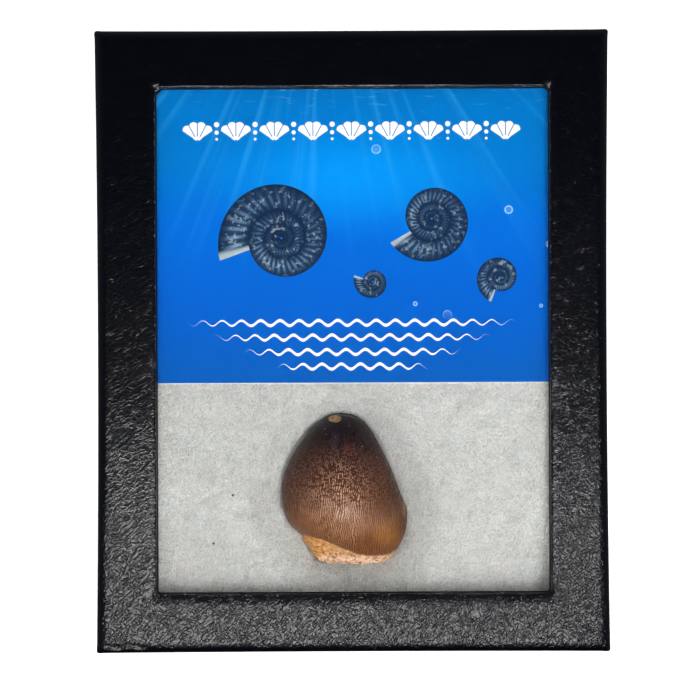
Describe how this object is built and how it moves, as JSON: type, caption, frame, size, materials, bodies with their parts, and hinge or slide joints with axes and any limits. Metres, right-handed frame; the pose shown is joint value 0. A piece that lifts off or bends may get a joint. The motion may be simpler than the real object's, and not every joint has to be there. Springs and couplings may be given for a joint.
{
  "type": "framed fossil mosasaur tooth",
  "caption": "Blunt fossil reptile tooth with broken root, on white batting under a blue printed card, in a black board specimen case with a glass window.",
  "frame": {"origin": "middle of the tray's underside, on which the case lies", "axes": "+X across the case to the reader's right, +Y towards the head of the printed card, +Z out through the glass"},
  "size_m": [0.109, 0.132, 0.0285],
  "materials": {
    "cover_paper": "chipboard in smooth black cover paper",
    "batting": "soft white polyester fibre, pressed flat",
    "card": "glossy blue printed card",
    "fossil": "polished brown enamel, dark at the tip, with wrinkles; tan broken root",
    "glass": "clear window glass",
    "leather_grain": "black leather-grain wrap with a satin sheen, glued over board",
    "pin_steel": "bright nickelled pin"
  },
  "bodies": {
    "root": {"tray": "cover_paper", "batting": "batting", "info_card": "card", "tooth": "fossil", "glass_pane": "glass", "lid_frame": "leather_grain", "pin_left": "pin_steel", "pin_right": "pin_steel"}
  },
  "joints": []
}
